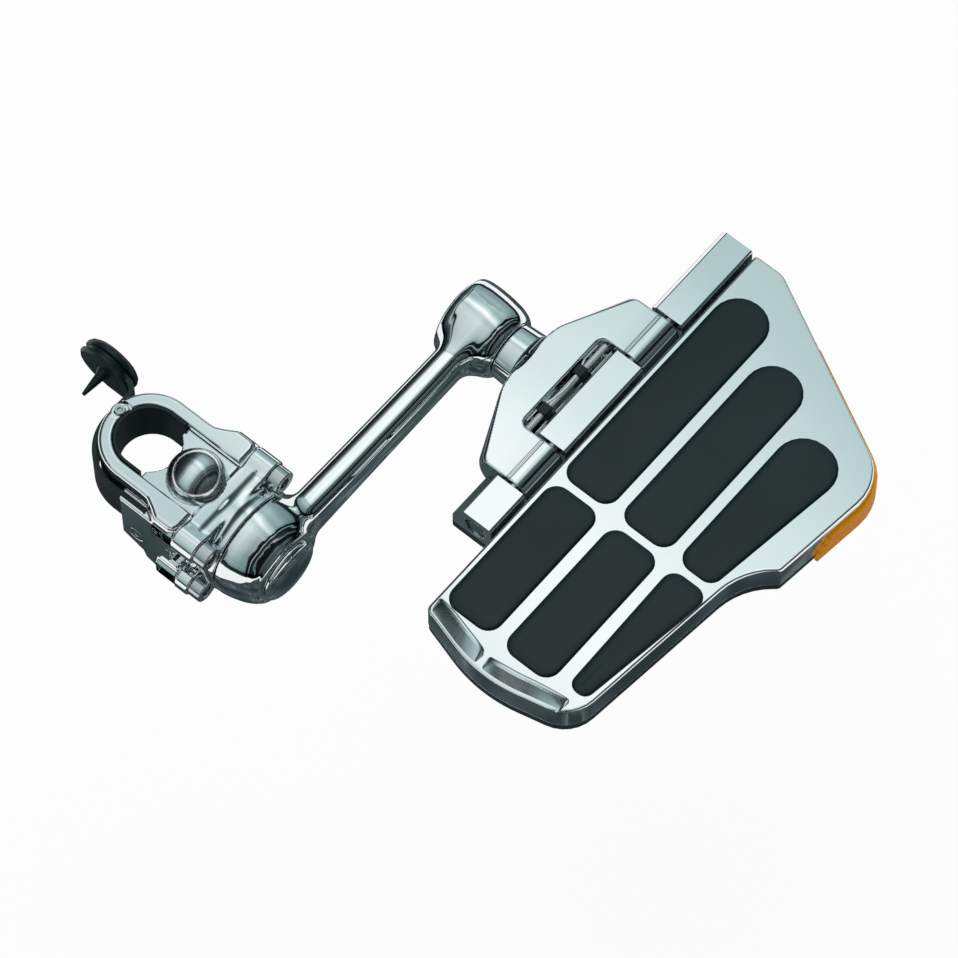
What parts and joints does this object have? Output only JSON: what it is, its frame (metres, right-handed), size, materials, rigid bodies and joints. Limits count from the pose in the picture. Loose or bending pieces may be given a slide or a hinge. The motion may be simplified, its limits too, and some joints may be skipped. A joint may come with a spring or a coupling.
{
  "type": "motorcycle floorboard",
  "caption": "Folding chrome footboard with rubber pads on an offset swivel arm and a hinged clamp for a guard tube.",
  "frame": {"origin": "centre of the tube bore, half way along the clamp", "axes": "+Z along the tube bore and square to the board's tread, +X along the swivel axes from the clamp to the board, +Y along the fold hinge towards the toe end"},
  "size_m": [0.3414, 0.3093, 0.0688],
  "materials": {
    "chrome": "mirror polished plating",
    "hardware": "plated steel",
    "rubber": "satin moulded rubber",
    "lens": "clear amber moulding"
  },
  "bodies": {
    "clamp": {"jaw_lower": "chrome", "jaw_upper": "chrome", "jaw_hinge_pin": "hardware", "tube_liner": "rubber", "saddle_base": "chrome", "clamp_screws": "hardware", "plug_and_strap": "rubber", "strap_screw": "hardware", "lower_pivot_bolt": "hardware", "lower_pivot_washer": "hardware"},
    "arm": {"offset_arm": "chrome", "lower_hub_cap": "chrome", "upper_hub_cap": "chrome"},
    "mount": {"upper_pivot_bolt": "hardware", "upper_pivot_washer": "hardware", "swivel_collar": "chrome", "hinge_mount": "chrome", "detent_spring": "hardware", "spring_screws": "hardware", "fold_pin": "hardware", "pin_clips": "hardware"},
    "board": {"board_base": "chrome", "top_plate": "chrome", "toe_pad_inner": "rubber", "toe_pad_middle": "rubber", "toe_pad_outer": "rubber", "heel_pad_inner": "rubber", "heel_pad_middle": "rubber", "heel_pad_outer": "rubber", "reflector_lens": "lens", "plate_screws": "hardware"}
  },
  "joints": [
    {"name": "arm_swivel", "type": "hinge", "parent": "clamp", "child": "arm", "pos_m": [0.0736, 0, -0.017], "axis": [1, 0, 0], "range_deg": [-180, 180]},
    {"name": "mount_swivel", "type": "hinge", "parent": "arm", "child": "mount", "pos_m": [0.0736, 0.16, -0.017], "axis": [1, 0, 0], "range_deg": [-180, 180]},
    {"name": "board_fold", "type": "hinge", "parent": "mount", "child": "board", "pos_m": [0.1415, 0.16, -0.017], "axis": [0, -1, 0], "range_deg": [0, 90]}
  ]
}
